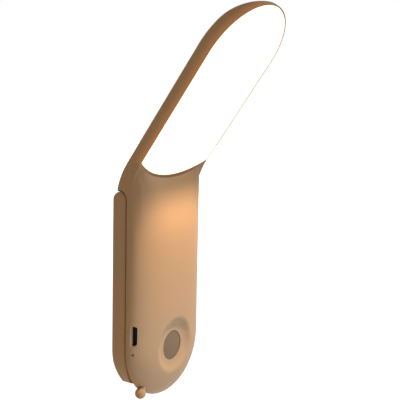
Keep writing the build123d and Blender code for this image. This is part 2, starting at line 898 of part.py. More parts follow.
# Soft seal between the socket's mouth and the wall in front of it
with BuildPart() as socket_seal:
    seal_height = socket_opening_height + 2 * socket_seal_edge
    seal_width = 2 * (cover_front_y - socket_seal_back_gap - socket_y)
    with BuildSketch(side_view(socket_mouth_x - stack_gap / 2)):
        add(slot_outline(seal_height, seal_width, socket_opening_bevel))
        add(
            slot_outline(socket_opening_height, socket_opening_width, socket_opening_bevel),
            mode=Mode.SUBTRACT,
        )
    extrude(amount=half_width)
    add(
        crowned_body(
            cavity_half - stack_gap,
            rim_y,
            cavity_front_y + stack_gap,
            floor_y,
            cavity_top_z,
        ),
        mode=Mode.INTERSECT,
    )
finish(socket_seal, "socket_seal")

# Light pipe in the small hole below the socket
with BuildPart() as charge_light_pipe:
    with BuildSketch(side_view(charge_light_inner_x)):
        with Locations((-charge_light_y, charge_light_z)):
            Circle(charge_light_radius - stack_gap / 2)
    extrude(amount=charge_light_inner_x - charge_light_outer_x)
finish(charge_light_pipe, "charge_light_pipe")

# Charge light on the board's edge
with BuildPart() as charge_led:
    led_y = board_front_y - charge_led_size / 2
    with BuildSketch(side_view(charge_light_inner_x + charge_led_gap + charge_led_length)):
        with Locations((-led_y, charge_light_z)):
            Rectangle(charge_led_size, charge_led_size)
    extrude(amount=charge_led_length)
finish(charge_led, "charge_led")

# Motion sensor can, with its window in front
with BuildPart() as pir_sensor:
    with BuildSketch(front_view(sensor_back_y)):
        with Locations((0, dish_z)):
            Circle(sensor_radius)
    extrude(amount=sensor_back_y - sensor_front_y)
    with BuildSketch(front_view(sensor_front_y + sensor_window_depth)):
        with Locations((0, dish_z)):
            Rectangle(sensor_window, sensor_window)
    extrude(amount=sensor_window_depth, mode=Mode.SUBTRACT)
finish(pir_sensor, "pir_sensor")

# Ring round the sensor, between the board and the lens
with BuildPart() as sensor_shroud:
    with BuildSketch(front_view(board_front_y)):
        with Locations((0, dish_z)):
            Circle(lens_flange_radius)
            Circle(lens_flange_radius - shroud_wall, mode=Mode.SUBTRACT)
    extrude(amount=board_front_y - dish_back_y - lens_flange)
finish(sensor_shroud, "sensor_shroud")

# Lens in the bottom of the dish
lens_edge = lens_radius - lens_gap
lens_rise = lens_edge_y - lens_middle_y
lens_curve = (lens_edge**2 + lens_rise**2) / (2 * lens_rise)
with BuildPart() as pir_lens:
    with BuildSketch(dish_plane):
        with BuildLine():
            flange_back = -dish_back_y - lens_flange
            Line((0, flange_back), (lens_flange_radius, flange_back))
            Line((lens_flange_radius, flange_back), (lens_flange_radius, -dish_back_y))
            Line((lens_flange_radius, -dish_back_y), (lens_edge, -dish_back_y))
            Line((lens_edge, -dish_back_y), (lens_edge, -lens_edge_y))
            fall = lens_curve - sqrt(lens_curve**2 - (lens_edge / 2) ** 2)
            half_edge = (lens_edge / 2, -lens_middle_y - fall)
            ThreePointArc((lens_edge, -lens_edge_y), half_edge, (0, -lens_middle_y))
            Line((0, -lens_middle_y), (0, flange_back))
        make_face()
    revolve(axis=dish_axis)
finish(pir_lens, "pir_lens")

# Push switch behind the mode button
with BuildPart() as mode_switch:
    with BuildSketch(button_plane(switch_foot)):
        with Locations((switch_y - button_y, 0)):
            Rectangle(switch_thickness, switch_width)
    extrude(amount=switch_depth)
    with BuildSketch(button_plane(switch_foot + switch_depth)):
        Circle(switch_plunger_radius)
    extrude(amount=switch_plunger)
finish(mode_switch, "mode_switch")

# Chips on the front of the board
with BuildPart() as board_chips:
    with BuildSketch(front_view(board_front_y)):
        with Locations(*chip_places):
            Rectangle(chip_size, chip_size)
    extrude(amount=chip_height)
finish(board_chips, "board_chips")

# Plug blocks where the leads reach the board
with BuildPart() as lead_connectors:
    with BuildSketch(front_view(board_front_y)):
        connector_z = connector_top_z - connector_height / 2
        with Locations((-lead_side_x, connector_z), (lead_side_x, connector_z)):
            Rectangle(connector_width, connector_height)
    extrude(amount=connector_depth)
finish(lead_connectors, "lead_connectors")

# Two leads from the cell down to the board
with BuildPart() as battery_leads:
    for side in (-1, 1):
        lead_x = lead_side_x + side * lead_spacing / 2
        lead_z = guard_board_foot_z + guard_board_height / 2 + side * lead_spacing / 2
        start = (cell_width / 2 - 1, lead_y, lead_z)
        corner = (lead_x, lead_y, lead_z)
        end = (lead_x, lead_y, connector_top_z)
        add(lead([start, corner, end]))
finish(battery_leads, "battery_leads")

# Two leads from the lights through the neck to the board
with BuildPart() as led_leads:
    for side in (-1, 1):
        lead_x = side * lead_spacing / 2
        run_z = lead_run_z - side * lead_spacing / 2
        points = [(lead_x, y, z) for y, z in channel_points()[:4]]
        points.append((lead_x, channel_back_y, run_z))
        points.append((lead_x - lead_side_x, lead_y, run_z))
        points.append((lead_x - lead_side_x, lead_y, connector_top_z))
        add(lead(points))
finish(led_leads, "led_leads")

# Mode button: a ball head on a neck, with two ears that keep it in
with BuildPart() as mode_button:
    with BuildSketch(button_plane(button_foot)):
        Circle(button_radius)
    extrude(amount=button_head - button_foot)
    with Locations(button_plane(button_head)):
        Sphere(button_head_radius)
    with BuildSketch(button_plane(button_foot)):
        with Locations((button_ear_y - button_y, 0)):
            Rectangle(button_ear_depth, button_ear_span)
    extrude(amount=button_ear_thickness)
finish(mode_button, "mode_button")

# Back clip: a flat plate with a full round barrel along its top
with BuildPart() as clip_arm:
    with BuildSketch(front_view(0)):
        add(clip_outline(0, hinge_height))
    extrude(amount=clip_thickness)
    with BuildSketch(Plane.YZ):
        with Locations((hinge_y, hinge_height)):
            Circle(barrel_radius)
    extrude(amount=half_width, both=True)
    sharp = clip_arm.edges().filter_by(
        lambda edge: edge.center().Z < 0 or abs(edge.center().X) > half_width / 2
    )
    fillet(sharp - sharp.filter_by(Axis.Y), clip_edge_round)

    # Seat for the liner, and the hollow behind it with rings for the magnets
    with BuildSketch(front_view(liner_back_y)):
        add(clip_outline(liner_edge, liner_top_z + liner_gap))
    extrude(amount=clip_thickness, mode=Mode.SUBTRACT)
    with BuildSketch(front_view(-clip_rear_wall)):
        add(clip_outline(liner_edge + liner_ledge, liner_top_z - liner_ledge))
        with Locations((0, clip_rear_taper_z)):
            Rectangle(
                2 * half_width,
                half_width,
                align=(Align.CENTER, Align.MAX),
                mode=Mode.SUBTRACT,
            )
    extrude(amount=clip_thickness, mode=Mode.SUBTRACT)
    with BuildSketch(front_view(-clip_rear_wall)):
        for place in magnet_places:
            with Locations((0, place)):
                Circle(magnet_radius + liner_gap + magnet_rib)
                Circle(magnet_radius + liner_gap, mode=Mode.SUBTRACT)
    extrude(amount=-liner_back_y - clip_rear_wall)

    # Slots for the lugs, window for the spring, and bores for the pins
    slot_back_y = hinge_y + lug_radius + lug_gap
    slot_foot_z = hinge_height - lug_radius - lug_gap
    top_z = hinge_height + 2 * barrel_radius
    with BuildSketch(front_view(slot_back_y)):
        with Locations((-lug_centre_x, slot_foot_z), (lug_centre_x, slot_foot_z)):
            Rectangle(
                lug_width + 2 * lug_gap,
                top_z - slot_foot_z,
                align=(Align.CENTER, Align.MIN),
            )
    extrude(amount=clip_thickness, mode=Mode.SUBTRACT)
    with BuildSketch(front_view(-clip_rear_wall)):
        with Locations((0, window_foot_z)):
            Rectangle(
                spring_window,
                top_z - window_foot_z,
                align=(Align.CENTER, Align.MIN),
            )
    extrude(amount=clip_thickness, mode=Mode.SUBTRACT)
    with BuildSketch(Plane.YZ):
        with Locations((hinge_y, hinge_height)):
            Circle(pin_radius + pin_running_gap)
    extrude(amount=pin_bore_end_x, both=True, mode=Mode.SUBTRACT)

    # Tapered foot that leads a shelf's edge into the gap
    add(foot_wedges(), mode=Mode.SUBTRACT)
finish(clip_arm, "clip_arm")

# Liner on the clip's inner side, with a shallow recess for the grip pad
with BuildPart() as clip_liner:
    with BuildSketch(front_view(liner_back_y)):
        add(clip_outline(liner_edge + liner_gap, liner_top_z))
    extrude(amount=liner_thickness)
    with BuildSketch(front_view(-clip_thickness - pad_proud + pad_thickness)):
        with Locations((0, pad_centre_z)):
            RectangleRounded(pad_width, pad_length, pad_corner)
    extrude(amount=pad_thickness, mode=Mode.SUBTRACT)
    add(foot_wedges(), mode=Mode.SUBTRACT)
finish(clip_liner, "clip_liner")

# Soft grip pad
with BuildPart() as clip_pad:
    with BuildSketch(front_view(-clip_thickness - pad_proud + pad_thickness)):
        with Locations((0, pad_centre_z)):
            RectangleRounded(
                pad_width - 2 * liner_gap,
                pad_length - 2 * liner_gap,
                pad_corner - liner_gap,
            )
    extrude(amount=pad_thickness)
finish(clip_pad, "clip_pad")

# Magnets that hold the clip on steel
with BuildPart() as clip_magnets:
    with BuildSketch(front_view(-clip_rear_wall)):
        for place in magnet_places:
            with Locations((0, place)):
                Circle(magnet_radius)
    extrude(amount=magnet_thickness)
finish(clip_magnets, "clip_magnets")

# Hinge pins through the lugs
with BuildPart() as hinge_pins:
    for side in (-1, 1):
        middle = side * (pin_inner_x + pin_outer_x) / 2
        with Locations((middle, hinge_y, hinge_height)):
            Cylinder(pin_radius, pin_outer_x - pin_inner_x, rotation=(0, 90, 0))
finish(hinge_pins, "hinge_pins")

# Spring that closes the clip
with BuildPart() as clip_spring:
    coil_length = (spring_turns + 0.5) * spring_pitch
    seat = Plane(
        origin=(-coil_length / 2, hinge_y, hinge_height),
        x_dir=(0, 1, 0),
        z_dir=(1, 0, 0),
    )
    add(seat.location * torsion_spring())
finish(clip_spring, "clip_spring")
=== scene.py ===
"""Wardrobe light: finishes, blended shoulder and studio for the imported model."""

import json
import math

import bmesh
import bpy
import numpy as np
from mathutils import Matrix, Vector
from mathutils.bvhtree import BVHTree


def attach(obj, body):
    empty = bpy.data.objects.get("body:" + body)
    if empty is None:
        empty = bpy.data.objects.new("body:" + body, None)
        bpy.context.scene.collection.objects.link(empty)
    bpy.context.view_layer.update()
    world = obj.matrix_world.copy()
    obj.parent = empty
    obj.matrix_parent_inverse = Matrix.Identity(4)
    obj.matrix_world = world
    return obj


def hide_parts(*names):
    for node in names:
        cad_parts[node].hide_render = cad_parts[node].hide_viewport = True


bl_info = {
    "name": "Wardrobe light",
    "version": (1, 0, 0),
    "blender": (4, 5, 0),
    "location": "View3D > Sidebar > Wardrobe light",
    "description": "Finishes, blended shoulder and studio for a bent wardrobe light",
    "category": "Object",
}

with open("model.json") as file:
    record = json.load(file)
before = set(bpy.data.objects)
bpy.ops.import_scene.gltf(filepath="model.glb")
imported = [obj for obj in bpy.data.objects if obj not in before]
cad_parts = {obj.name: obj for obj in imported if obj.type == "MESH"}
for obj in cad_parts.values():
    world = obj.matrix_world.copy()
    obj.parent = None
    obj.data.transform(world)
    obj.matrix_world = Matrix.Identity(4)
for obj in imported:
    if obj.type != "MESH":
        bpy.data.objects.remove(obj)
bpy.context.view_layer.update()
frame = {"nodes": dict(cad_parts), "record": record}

# The panel's plane: the lean of the head, and the middle of the round tip's arc
LEAN = math.radians(36.14)
ARC_CENTRE = (0.0, -0.0448, 0.0972)

# Moulded grain: scale of the broad mottle, share of the fine specks in the colour, swing of the
# roughness, and height of the relief
MOTTLE_SCALE = 55.0
SPECK_SHARE = 0.6
ROUGHNESS_SWING = 0.12
GRAIN_HEIGHT = 0.00002

# A surface counts as the head's side wall as its normal turns away from the panel's, from the
# first cosine to the second
SIDE_WALL = (0.8, 0.3)

# Painted glow in the tan rim, emitted by the plastic itself in place of the lit panel's light
# shining
# through it: the depth behind the panel's plane at which it ends, where it starts and is full, in
# metres inside the head's outline, and its strength
GLOW_DEPTH = 0.0036
GLOW_ACROSS = (-0.0012, 0.0004)
GLOW_STRENGTH = 0.65

# Between these distances inside the head's outline, the panel's light turns from its edge's
# colour to its middle's. Its strength is just past white.
PANEL_EDGE = (0.0003, 0.0030)
PANEL_STRENGTH = 1.2

# Plain finishes: colour, roughness, and what else differs from the usual grain
PLAIN_FINISHES = {
    "white_film": ((0.85, 0.85, 0.84), 0.5, {}),
    "white_board": ((0.80, 0.81, 0.79), 0.4, {}),
    "led_white": ((0.85, 0.72, 0.40), 0.3, {}),
    "cell_foil": ((0.62, 0.63, 0.66), 0.35, {"grain": 900, "metallic": 0.9}),
    "grey_foam": ((0.06, 0.06, 0.065), 0.9, {"grain": 3500, "bump": 0.8}),
    "green_board": ((0.01, 0.09, 0.04), 0.35, {"grain": 1500}),
    "socket_steel": ((0.42, 0.41, 0.40), 0.3, {"grain": 4000, "metallic": 1.0}),
    "screw_steel": ((0.02, 0.02, 0.02), 0.45, {"metallic": 0.6}),
    "sensor_can": ((0.45, 0.43, 0.38), 0.35, {"metallic": 1.0}),
    "black_plastic": ((0.012, 0.012, 0.012), 0.5, {}),
    "white_plastic": ((0.78, 0.77, 0.72), 0.45, {}),
    "red_lead": ((0.30, 0.01, 0.008), 0.4, {}),
    "grey_silicone": ((0.11, 0.09, 0.075), 0.7, {"grain": 2000}),
    "magnet_nickel": ((0.60, 0.59, 0.57), 0.2, {"metallic": 1.0}),
    "pin_steel": ((0.50, 0.50, 0.50), 0.3, {"grain": 3000, "metallic": 1.0}),
}

# Blended shoulder: the grid of depths has two points to a cut, starts this many rows below the
# shoulder's foot, takes the lower cross-section from this row and ends at this height
ROWS_BELOW = 4
PROFILE_ROW = 2
GRID_TOP = 0.058
# Its rays start at this depth, in front of the lamp
RAY_START = -0.1
# A face is cut if its centre is lower than this, at most this far above the panel's foot edge,
# and this close to the front's depth
SKIN_TOP = 0.0575
RIM_TOLERANCE = 0.00001
SKIN_TOLERANCE = 0.0004
# Points closer than this are one point: in the copied mesh, and where a plane cuts
MERGE_DISTANCE = 1e-6
CUT_DISTANCE = 1e-7
# Where the blend starts and is full, inwards from the rim, the sides and the foot: of the depth,
# and of the normals
DEPTH_FADES = ((0, 0.001), (0, 0.003), (0, 0.004))
NORMAL_FADES = ((0.0006, 0.0016), (0.0005, 0.002), (0.0005, 0.004))
# Points in the running mean that smooths the lower cross-section's slopes
PROFILE_WINDOW = 9
# A place is held this many steps short of the grid's count, so that it has a next point
END_MARGIN = 1.001
# No normal is divided by less than this
LEAST_LENGTH = 1e-9

# Studio: the world's colour, its strength at the horizon and what is lost up to the zenith
WORLD_COLOUR = (1.0, 0.80, 0.57)
HORIZON_STRENGTH = 0.66
ZENITH_LOSS = 0.50
# Floor: half its side, its grey, the white that is seen near the lamp, and how much that rises
# between these distances from the lamp
FLOOR_REACH = 3.0
FLOOR_GREY = 0.45
FLOOR_WHITE = 0.93
FLOOR_RISE = 0.3
FLOOR_RISE_FROM, FLOOR_RISE_TO = 0.1, 0.4


class WardrobeLightSizes(bpy.types.PropertyGroup):
    """Sizes of the pieces, in metres."""

    half_width: bpy.props.FloatProperty(
        name="Half width",
        description="Half the width of the head and the body",
        default=0.024,
        unit="LENGTH",
    )
    foot_radius: bpy.props.FloatProperty(
        name="Panel foot radius",
        description="Radius of the shallow arc at the panel's foot",
        default=0.0413,
        unit="LENGTH",
    )
    foot_centre: bpy.props.FloatProperty(
        name="Panel foot centre",
        description="Where that arc's centre lies up the panel, from the tip's arc centre",
        default=-0.01809,
        unit="LENGTH",
    )
    shoulder_foot: bpy.props.FloatProperty(
        name="Shoulder foot",
        description="Height at which the blended shoulder ends",
        default=0.017,
        unit="LENGTH",
    )
    shoulder_width: bpy.props.FloatProperty(
        name="Shoulder half width",
        description="Half the width of the blended shoulder",
        default=0.0222,
        unit="LENGTH",
    )
    shoulder_step: bpy.props.FloatProperty(
        name="Shoulder step",
        description="Distance between the shoulder's cuts",
        default=0.001,
        unit="LENGTH",
    )
    shoulder_passes: bpy.props.IntProperty(
        name="Shoulder passes",
        description="How many times each point of the shoulder becomes the mean of its neighbours",
        default=500,
    )


class WardrobeLightColours(bpy.types.PropertyGroup):
    """Colours of the finishes that show."""

    tan: bpy.props.FloatVectorProperty(
        name="Tan plastic",
        description="Colour of the housing, clip and button",
        default=(0.49, 0.325, 0.195),
        subtype="COLOR",
        size=3,
        min=0.0,
        max=1.0,
    )
    lens: bpy.props.FloatVectorProperty(
        name="Lens",
        description="Colour of the motion sensor's lens",
        default=(0.205, 0.145, 0.09),
        subtype="COLOR",
        size=3,
        min=0.0,
        max=1.0,
    )
    panel_middle: bpy.props.FloatVectorProperty(
        name="Panel middle",
        description="Light of the panel away from its edge",
        default=(1.0, 0.95, 0.88),
        subtype="COLOR",
        size=3,
        min=0.0,
        max=1.0,
    )
    panel_edge: bpy.props.FloatVectorProperty(
        name="Panel edge",
        description="Light of the panel along its edge",
        default=(1.0, 0.86, 0.60),
        subtype="COLOR",
        size=3,
        min=0.0,
        max=1.0,
    )
    painted_rim_glow: bpy.props.FloatVectorProperty(
        name="Rim glow",
        description="Light of the panel that shines through its tan rim",
        default=(0.25, 0.07, 0.012),
        subtype="COLOR",
        size=3,
        min=0.0,
        max=1.0,
    )


class WardrobeLightStage(bpy.types.PropertyGroup):
    """Floor and camera."""

    floor_height: bpy.props.FloatProperty(
        name="Floor height",
        description="Height of the floor under the lamp",
        default=-0.0535,
        unit="LENGTH",
    )
    lens_length: bpy.props.FloatProperty(
        name="Camera lens",
        description="Focal length of the camera",
        default=63.0,
        unit="CAMERA",
    )


def placed(name, data):
    """A new object in the scene."""
    thing = bpy.data.objects.new(name, data)
    bpy.context.scene.collection.objects.link(thing)
    return thing


def read_values(items, name, width=1, kind=float):
    """One number, or one row of width numbers, for each of a mesh's items."""
    values = np.empty(len(items) * width, kind)
    items.foreach_get(name, values)
    return values if width == 1 else values.reshape(-1, width)


def socket_in(tree, name, kind, default):
    """Adds a named input to a node group."""
    item = tree.interface.new_socket(name=name, in_out="INPUT", socket_type=kind)
    item.default_value = default


def socket_out(tree, name, kind):
    """Adds a named output to a node group."""
    tree.interface.new_socket(name=name, in_out="OUTPUT", socket_type=kind)


def math_node(tree, operation, *values, clamp=False):
    """One maths step on sockets or numbers. Gives its result's socket."""
    node = tree.nodes.new("ShaderNodeMath")
    node.operation = operation
    node.use_clamp = clamp
    for socket, value in zip(node.inputs, values):
        if isinstance(value, (int, float)):
            socket.default_value = value
        else:
            tree.links.new(value, socket)
    return node.outputs[0]


def diagonal(tree, a, b):
    """Square root of a² + b²."""
    squares = [math_node(tree, "MULTIPLY", value, value) for value in (a, b)]
    return math_node(tree, "SQRT", math_node(tree, "ADD", *squares))


def ramp_between(tree, value, low, high):
    """Smooth step of value from 0 at low to 1 at high."""
    node = tree.nodes.new("ShaderNodeMapRange")
    node.interpolation_type = "SMOOTHSTEP"
    node.inputs["From Min"].default_value = low
    node.inputs["From Max"].default_value = high
    tree.links.new(value, node.inputs["Value"])
    return node.outputs["Result"]


def mixed_colour(tree, factor, start, end):
    """Colour that runs from start to end as the factor runs from 0 to 1."""
    node = tree.nodes.new("ShaderNodeMix")
    node.data_type = "RGBA"
    node.inputs["A"].default_value = (*start, 1)
    node.inputs["B"].default_value = (*end, 1)
    tree.links.new(factor, node.inputs["Factor"])
    return node.outputs["Result"]


def moulded_grain():
    """Group: fine moulded grain. Gives a height, a roughness and a faint colour change."""
    tree = bpy.data.node_groups.new("moulded_grain", "ShaderNodeTree")
    socket_in(tree, "Colour", "NodeSocketColor", (0.5, 0.5, 0.5, 1))
    socket_in(tree, "Roughness", "NodeSocketFloat", 0.5)
    socket_in(tree, "Grain Scale", "NodeSocketFloat", 2600.0)
    socket_in(tree, "Mottle", "NodeSocketFloat", 0.05)
    socket_out(tree, "Colour", "NodeSocketColor")
    socket_out(tree, "Roughness", "NodeSocketFloat")
    socket_out(tree, "Height", "NodeSocketFloat")
    inputs = tree.nodes.new("NodeGroupInput")
    outputs = tree.nodes.new("NodeGroupOutput")
    place = tree.nodes.new("ShaderNodeTexCoord")
    fine = tree.nodes.new("ShaderNodeTexNoise")
    fine.inputs["Detail"].default_value = 3.0
    fine.inputs["Roughness"].default_value = 0.6
    tree.links.new(place.outputs["Object"], fine.inputs["Vector"])
    tree.links.new(inputs.outputs["Grain Scale"], fine.inputs["Scale"])
    broad = tree.nodes.new("ShaderNodeTexNoise")
    broad.inputs["Scale"].default_value = MOTTLE_SCALE
    broad.inputs["Detail"].default_value = 2.0
    tree.links.new(place.outputs["Object"], broad.inputs["Vector"])
    swing = math_node(tree, "SUBTRACT", broad.outputs["Fac"], 0.5)
    speck = math_node(tree, "SUBTRACT", fine.outputs["Fac"], 0.5)
    speck = math_node(tree, "MULTIPLY", speck, SPECK_SHARE)
    both = math_node(tree, "ADD", swing, speck)
    scaled = math_node(tree, "MULTIPLY", both, inputs.outputs["Mottle"])
    factor = math_node(tree, "ADD", scaled, 1.0)
    tint = tree.nodes.new("ShaderNodeVectorMath")
    tint.operation = "SCALE"
    tree.links.new(inputs.outputs["Colour"], tint.inputs[0])
    tree.links.new(factor, tint.inputs["Scale"])
    tree.links.new(tint.outputs[0], outputs.inputs["Colour"])
    rough = math_node(tree, "MULTIPLY", both, ROUGHNESS_SWING)
    rough = math_node(tree, "ADD", rough, inputs.outputs["Roughness"], clamp=True)
    tree.links.new(rough, outputs.inputs["Roughness"])
    tree.links.new(fine.outputs["Fac"], outputs.inputs["Height"])


def panel_distance():
    """Group: metres behind the panel's plane, metres inside the head's outline, and a mask that
    is 1 on the head's side wall."""
    tree = bpy.data.node_groups.new("panel_distance", "ShaderNodeTree")
    for name in ("Behind", "Inside", "Sideways"):
        socket_out(tree, name, "NodeSocketFloat")
    outputs = tree.nodes.new("NodeGroupOutput")
    sizes = bpy.context.scene.wardrobe_light_sizes
    place = tree.nodes.new("ShaderNodeTexCoord")
    turned = tree.nodes.new("ShaderNodeMapping")
    turned.vector_type = "TEXTURE"
    turned.inputs["Location"].default_value = ARC_CENTRE
    turned.inputs["Rotation"].default_value = (LEAN, 0, 0)
    tree.links.new(place.outputs["Object"], turned.inputs["Vector"])
    parts = tree.nodes.new("ShaderNodeSeparateXYZ")
    tree.links.new(turned.outputs[0], parts.inputs[0])
    across, behind, up = parts.outputs
    tree.links.new(behind, outputs.inputs["Behind"])
    side = math_node(tree, "SUBTRACT", sizes.half_width, math_node(tree, "ABSOLUTE", across))
    above = math_node(tree, "MAXIMUM", up, 0.0)
    tip = math_node(tree, "SUBTRACT", sizes.half_width, diagonal(tree, above, across))
    down = math_node(tree, "SUBTRACT", up, sizes.foot_centre)
    foot = math_node(tree, "SUBTRACT", sizes.foot_radius, diagonal(tree, down, across))
    inside = math_node(tree, "MINIMUM", math_node(tree, "MINIMUM", side, tip), foot)
    tree.links.new(inside, outputs.inputs["Inside"])
    facing = tree.nodes.new("ShaderNodeVectorMath")
    facing.operation = "DOT_PRODUCT"
    facing.inputs[1].default_value = (0, math.cos(LEAN), math.sin(LEAN))
    tree.links.new(place.outputs["Normal"], facing.inputs[0])
    front = math_node(tree, "ABSOLUTE", facing.outputs["Value"])
    tree.links.new(ramp_between(tree, front, *SIDE_WALL), outputs.inputs["Sideways"])


def group_in(tree, name):
    """Places a node group in a material."""
    node = tree.nodes.new("ShaderNodeGroup")
    node.node_tree = bpy.data.node_groups[name]
    return node


def new_material(name):
    """A material with nodes. Gives it, its tree and its shader."""
    material = bpy.data.materials.new(name)
    material.use_nodes = True
    tree = material.node_tree
    return material, tree, tree.nodes["Principled BSDF"]


def grained(name, colour, roughness, grain=2600.0, mottle=0.05, bump=0.2, metallic=0.0):
    """Moulded or coated finish with its grain. Gives the material, its tree and its shader."""
    material, tree, shader = new_material(name)
    grain_node = group_in(tree, "moulded_grain")
    grain_node.inputs["Colour"].default_value = (*colour, 1)
    grain_node.inputs["Roughness"].default_value = roughness
    grain_node.inputs["Grain Scale"].default_value = grain
    grain_node.inputs["Mottle"].default_value = mottle
    tree.links.new(grain_node.outputs["Colour"], shader.inputs["Base Color"])
    tree.links.new(grain_node.outputs["Roughness"], shader.inputs["Roughness"])
    shader.inputs["Metallic"].default_value = metallic
    relief = tree.nodes.new("ShaderNodeBump")
    relief.inputs["Strength"].default_value = bump
    relief.inputs["Distance"].default_value = GRAIN_HEIGHT
    tree.links.new(grain_node.outputs["Height"], relief.inputs["Height"])
    tree.links.new(relief.outputs["Normal"], shader.inputs["Normal"])
    return material, tree, shader


def tan_plastic(colours):
    """Tan plastic. Its rim carries a little painted glow, emitted by the plastic itself where the
    lit panel's light would shine through it.
    """
    material, tree, shader = grained("tan_plastic", colours.tan, 0.52, mottle=0.06, bump=0.25)
    shader.inputs["Specular IOR Level"].default_value = 0.22
    distance = group_in(tree, "panel_distance")
    # Painted glow: emission on the tan side wall near the panel's plane and outline, standing in
    # for the panel's light through the rim
    near = ramp_between(tree, distance.outputs["Behind"], GLOW_DEPTH, 0.0)
    edge = ramp_between(tree, distance.outputs["Inside"], *GLOW_ACROSS)
    glow = math_node(tree, "MULTIPLY", near, edge)
    glow = math_node(tree, "MULTIPLY", glow, distance.outputs["Sideways"])
    light = mixed_colour(tree, glow, (0, 0, 0), colours.painted_rim_glow)
    tree.links.new(light, shader.inputs["Emission Color"])
    shader.inputs["Emission Strength"].default_value = GLOW_STRENGTH
    return material


def lit_panel(colours):
    """Milky panel lit from behind, a little warmer along its edge."""
    material, tree, shader = new_material("lit_panel")
    distance = group_in(tree, "panel_distance")
    inner = ramp_between(tree, distance.outputs["Inside"], *PANEL_EDGE)
    light = mixed_colour(tree, inner, colours.panel_edge, colours.panel_middle)
    tree.links.new(light, shader.inputs["Emission Color"])
    shader.inputs["Emission Strength"].default_value = PANEL_STRENGTH
    shader.inputs["Base Color"].default_value = (0.92, 0.90, 0.86, 1)
    shader.inputs["Roughness"].default_value = 0.45
    return material


def lens_film(colours):
    """Brown grey film of the motion sensor's lens, with little gloss."""
    material, _, shader = grained("lens_film", colours.lens, 0.5, grain=1800, mottle=0.1)
    shader.inputs["Specular IOR Level"].default_value = 0.15
    return material


def clear_plastic():
    """Clear polished plastic of the light guide and the light pipe."""
    material, _, shader = grained("clear_plastic", (0.75, 0.78, 0.78), 0.15, mottle=0.02)
    shader.inputs["Transmission Weight"].default_value = 0.9
    return material


def make_materials(colours):
    """Every finish of the lamp, by its record's slot."""
    moulded_grain()
    panel_distance()
    made = {
        "tan_plastic": tan_plastic(colours),
        "glowing_panel": lit_panel(colours),
        "lens_film": lens_film(colours),
        "clear_plastic": clear_plastic(),
    }
    for slot, (colour, roughness, other) in PLAIN_FINISHES.items():
        made[slot] = grained(slot, colour, roughness, **other)[0]
    return made


class WARDROBE_OT_finishes(bpy.types.Operator):
    """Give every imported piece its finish."""

    bl_idname = "wardrobe.finishes"
    bl_label = "Finishes"

    def execute(self, context):
        made = make_materials(context.scene.wardrobe_light_colours)
        slots = {part["node"]: part["material_slot"] for part in frame["record"]["subparts"]}
        for node, piece in frame["nodes"].items():
            piece.data.materials.clear()
            piece.data.materials.append(made[slots[node]])
        return {"FINISHED"}


def smooth_step(value, low, high):
    """3t² - 2t³, where t runs from 0 at low to 1 at high."""
    t = np.clip((value - low) / (high - low), 0, 1)
    return t * t * (3 - 2 * t)


def under_panel(x, z):
    """Metres below the panel's foot edge: distance from the foot arc's centre less its radius,
    along the panel's plane."""
    sizes = bpy.context.scene.wardrobe_light_sizes
    up = (z - ARC_CENTRE[2]) / math.cos(LEAN)
    return np.hypot(x, up - sizes.foot_centre) - sizes.foot_radius


def shoulder_share(x, z, rim, sides, foot):
    """Product of three smooth steps inwards from the shoulder's rim, sides and foot."""
    sizes = bpy.context.scene.wardrobe_light_sizes
    return (smooth_step(under_panel(x, z), *rim)
            * smooth_step(sizes.shoulder_width - np.abs(x), *sides)
            * smooth_step(z - sizes.shoulder_foot, *foot))


class FrontGrid:
    """Grid of points over x and z, on which the depth y of the front is known."""

    def __init__(self, sizes):
        self.step = sizes.shoulder_step / 2
        self.edge = sizes.half_width - self.step
        self.left = -self.edge
        self.foot = sizes.shoulder_foot - ROWS_BELOW * self.step
        columns = np.arange(self.left, self.edge + self.step / 2, self.step)
        rows = np.arange(self.foot, GRID_TOP, self.step)
        self.x, self.z = np.meshgrid(columns, rows)

    def depths(self, shell):
        """Depths by rays along +Y. Above the panel's foot edge they follow the panel's plane."""
        depth = ARC_CENTRE[1] - (self.z - ARC_CENTRE[2]) * math.tan(LEAN)
        for place in zip(*np.nonzero(under_panel(self.x, self.z) > 0)):
            start = Vector((self.x[place], RAY_START, self.z[place]))
            depth[place] = shell.ray_cast(start, Vector((0, 1, 0)))[0].y
        return depth

    def look_up(self, values, x, z):
        """Values between the grid's points: straight lines across, then along. A place outside
        the grid counts as one on its border."""
        column = np.clip((x - self.left) / self.step, 0, values.shape[1] - END_MARGIN)
        row = np.clip((z - self.foot) / self.step, 0, values.shape[0] - END_MARGIN)
        i, j = column.astype(int), row.astype(int)
        u, v = column - i, row - j
        low = values[j, i] * (1 - u) + values[j, i + 1] * u
        high = values[j + 1, i] * (1 - u) + values[j + 1, i + 1] * u
        return low * (1 - v) + high * v

    def shows(self, depth, centre):
        """Whether a face's centre lies on the front, inside the shoulder."""
        sizes = bpy.context.scene.wardrobe_light_sizes
        x, z = np.array((centre.x,)), np.array((centre.z,))
        return (abs(centre.x) < self.edge and sizes.shoulder_foot < centre.z < SKIN_TOP
                and under_panel(x, z)[0] > -RIM_TOLERANCE
                and abs(self.look_up(depth, x, z)[0] - centre.y) < SKIN_TOLERANCE)


def slackened(depth, free, passes):
    """Depths after each free point became the mean of its four neighbours, passes times over."""
    depth = depth.copy()
    for _ in range(passes):
        mean = sum(np.roll(depth, turn, axis) for turn in (1, -1) for axis in (0, 1)) / 4
        depth = np.where(free, mean, depth)
    return depth


def shoulder_move(grid, hollow):
    """How far each point of the front moves back: w (s - h)."""
    sizes = bpy.context.scene.wardrobe_light_sizes
    free = ((under_panel(grid.x, grid.z) > 0)
            & (np.abs(grid.x) < sizes.shoulder_width)
            & (grid.z > sizes.shoulder_foot))
    soft = slackened(hollow, free, sizes.shoulder_passes)
    return (soft - hollow) * shoulder_share(grid.x, grid.z, *DEPTH_FADES)


